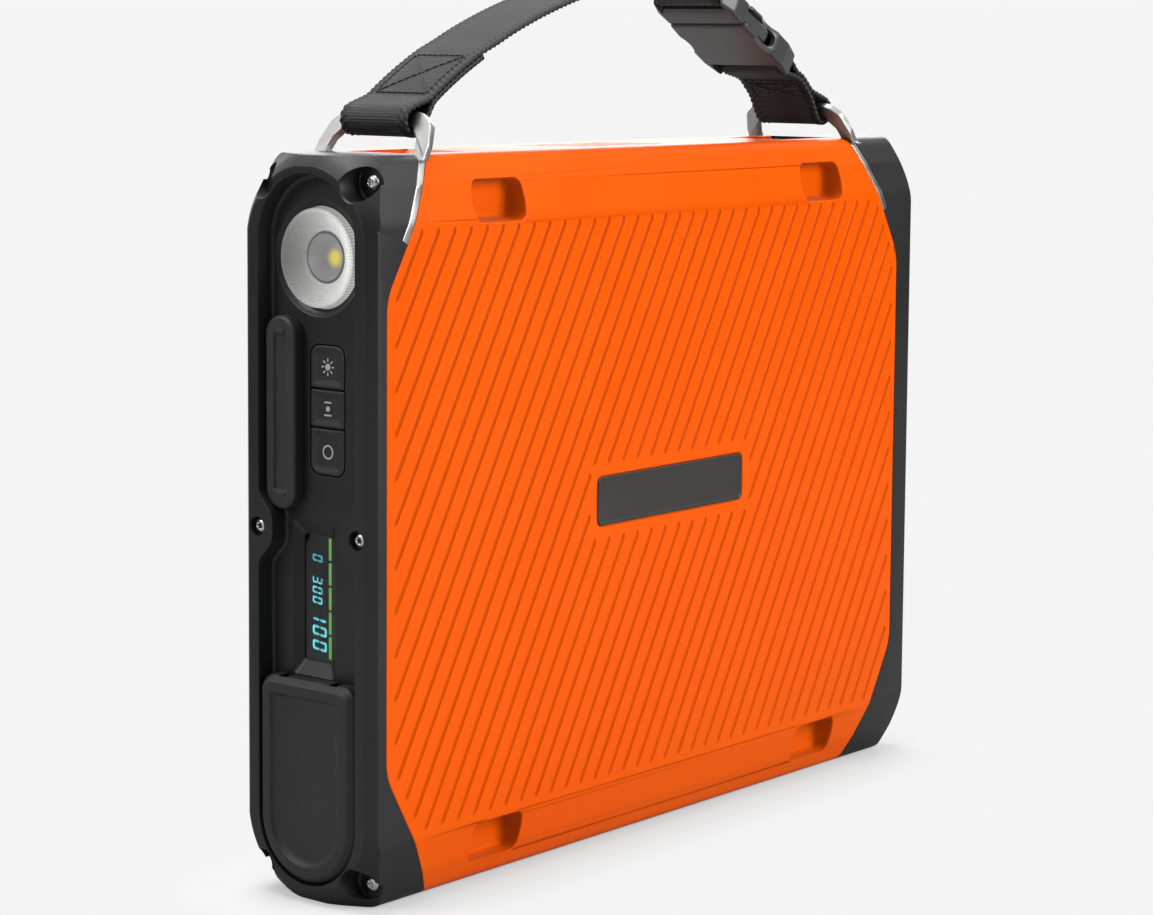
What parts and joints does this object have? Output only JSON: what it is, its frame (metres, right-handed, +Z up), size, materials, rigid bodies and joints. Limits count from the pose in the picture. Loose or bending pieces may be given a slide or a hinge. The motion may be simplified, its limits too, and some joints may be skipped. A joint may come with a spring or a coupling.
{
  "type": "jump starter pack",
  "caption": "Slim upright battery pack with an orange ribbed sleeve, black end caps, lamp, buttons, display, covered sockets, steel rings and a buckled carrying strap.",
  "frame": {"origin": "middle of the flat bottom face, midway between the two end faces", "axes": "+X from the ported end to the plain end, -Y out of the front face, +Z up"},
  "size_m": [0.321, 0.0602, 0.3132],
  "materials": {
    "orange_shell": "satin, fine grain",
    "black_shell": "satin",
    "dark_screw": "black oxide",
    "ring_steel": "ground edge",
    "plate": "matte, bare",
    "clear_lens": "clear",
    "reflector": "bright",
    "lamp_board": "yellow",
    "button_rubber": "satin",
    "circuit_board": "green mask",
    "dark_window": "gloss",
    "display": "dark",
    "cover_rubber": "satin",
    "pin_steel": "plain",
    "socket_metal": "plated",
    "cell": "film wrapped",
    "busbar": "bright",
    "foam": "soft",
    "heat_sink": "extruded",
    "chip": "moulded",
    "ferrite": "sintered",
    "winding": "enamelled wire",
    "capacitor": "sleeved",
    "lead_red": "satin",
    "lead_black": "satin",
    "webbing": "woven",
    "buckle_plastic": "satin"
  },
  "bodies": {
    "pack": {"body_sleeve": "orange_shell", "left_end_cap": "black_shell", "right_end_cap": "black_shell", "left_cap_screws": "dark_screw", "right_cap_screws": "dark_screw", "left_ring": "ring_steel", "right_ring": "ring_steel", "name_plate": "plate", "lamp_lens": "clear_lens", "lamp_collimator": "clear_lens", "lamp_reflector": "reflector", "lamp_board": "lamp_board", "button_board": "circuit_board", "display_window": "dark_window", "display_module": "display", "port_cover_pin": "pin_steel", "port_block": "black_shell", "port_shells": "socket_metal", "outlet_cover_pin": "pin_steel", "outlet_socket": "black_shell", "battery_cells": "cell", "cell_holders": "black_shell", "busbar_sheets": "busbar", "battery_cradle": "black_shell", "battery_pads": "foam", "battery_board": "circuit_board", "inverter_board": "circuit_board", "board_screws": "pin_steel", "heat_sink": "heat_sink", "power_transistors": "chip", "transformer_core": "ferrite", "transformer_winding": "winding", "choke": "winding", "capacitors": "capacitor", "fan_frame": "black_shell", "fan_screws": "pin_steel", "battery_leads": "lead_red", "outlet_leads": "lead_black", "strap_long": "webbing", "strap_short": "webbing", "buckle_female": "buckle_plastic"},
    "port_cover": {"port_cover": "cover_rubber"},
    "outlet_cover": {"outlet_cover": "cover_rubber"},
    "light_button": {"light_button": "button_rubber"},
    "port_button": {"port_button": "button_rubber"},
    "outlet_button": {"outlet_button": "button_rubber"},
    "fan": {"fan_rotor": "black_shell"},
    "buckle_half": {"buckle_male": "buckle_plastic"}
  },
  "joints": [
    {"name": "port_cover_hinge", "type": "hinge", "parent": "pack", "child": "port_cover", "pos_m": [-0.1566, 0.0194, 0.164], "axis": [0, 0, -1], "range_deg": [0, 100]},
    {"name": "outlet_cover_hinge", "type": "hinge", "parent": "pack", "child": "outlet_cover", "pos_m": [-0.1576, 0, 0.0728], "axis": [0, 1, 0], "range_deg": [0, 95]},
    {"name": "light_press", "type": "slide", "parent": "pack", "child": "light_button", "axis": [1, 0, 0], "range_m": [0, 0.001], "stiffness_N_per_m": 1500},
    {"name": "port_press", "type": "slide", "parent": "pack", "child": "port_button", "axis": [1, 0, 0], "range_m": [0, 0.001], "stiffness_N_per_m": 1500},
    {"name": "outlet_press", "type": "slide", "parent": "pack", "child": "outlet_button", "axis": [1, 0, 0], "range_m": [0, 0.001], "stiffness_N_per_m": 1500},
    {"name": "fan_spin", "type": "hinge", "parent": "pack", "child": "fan", "pos_m": [-0.012, 0, 0.23], "axis": [0, 0, 1], "continuous": true},
    {"name": "buckle_unclip", "type": "slide", "parent": "pack", "child": "buckle_half", "axis": [-0.8545, 0, 0.5195], "range_m": [0, 0.022], "deforming": ["strap_long"]}
  ]
}
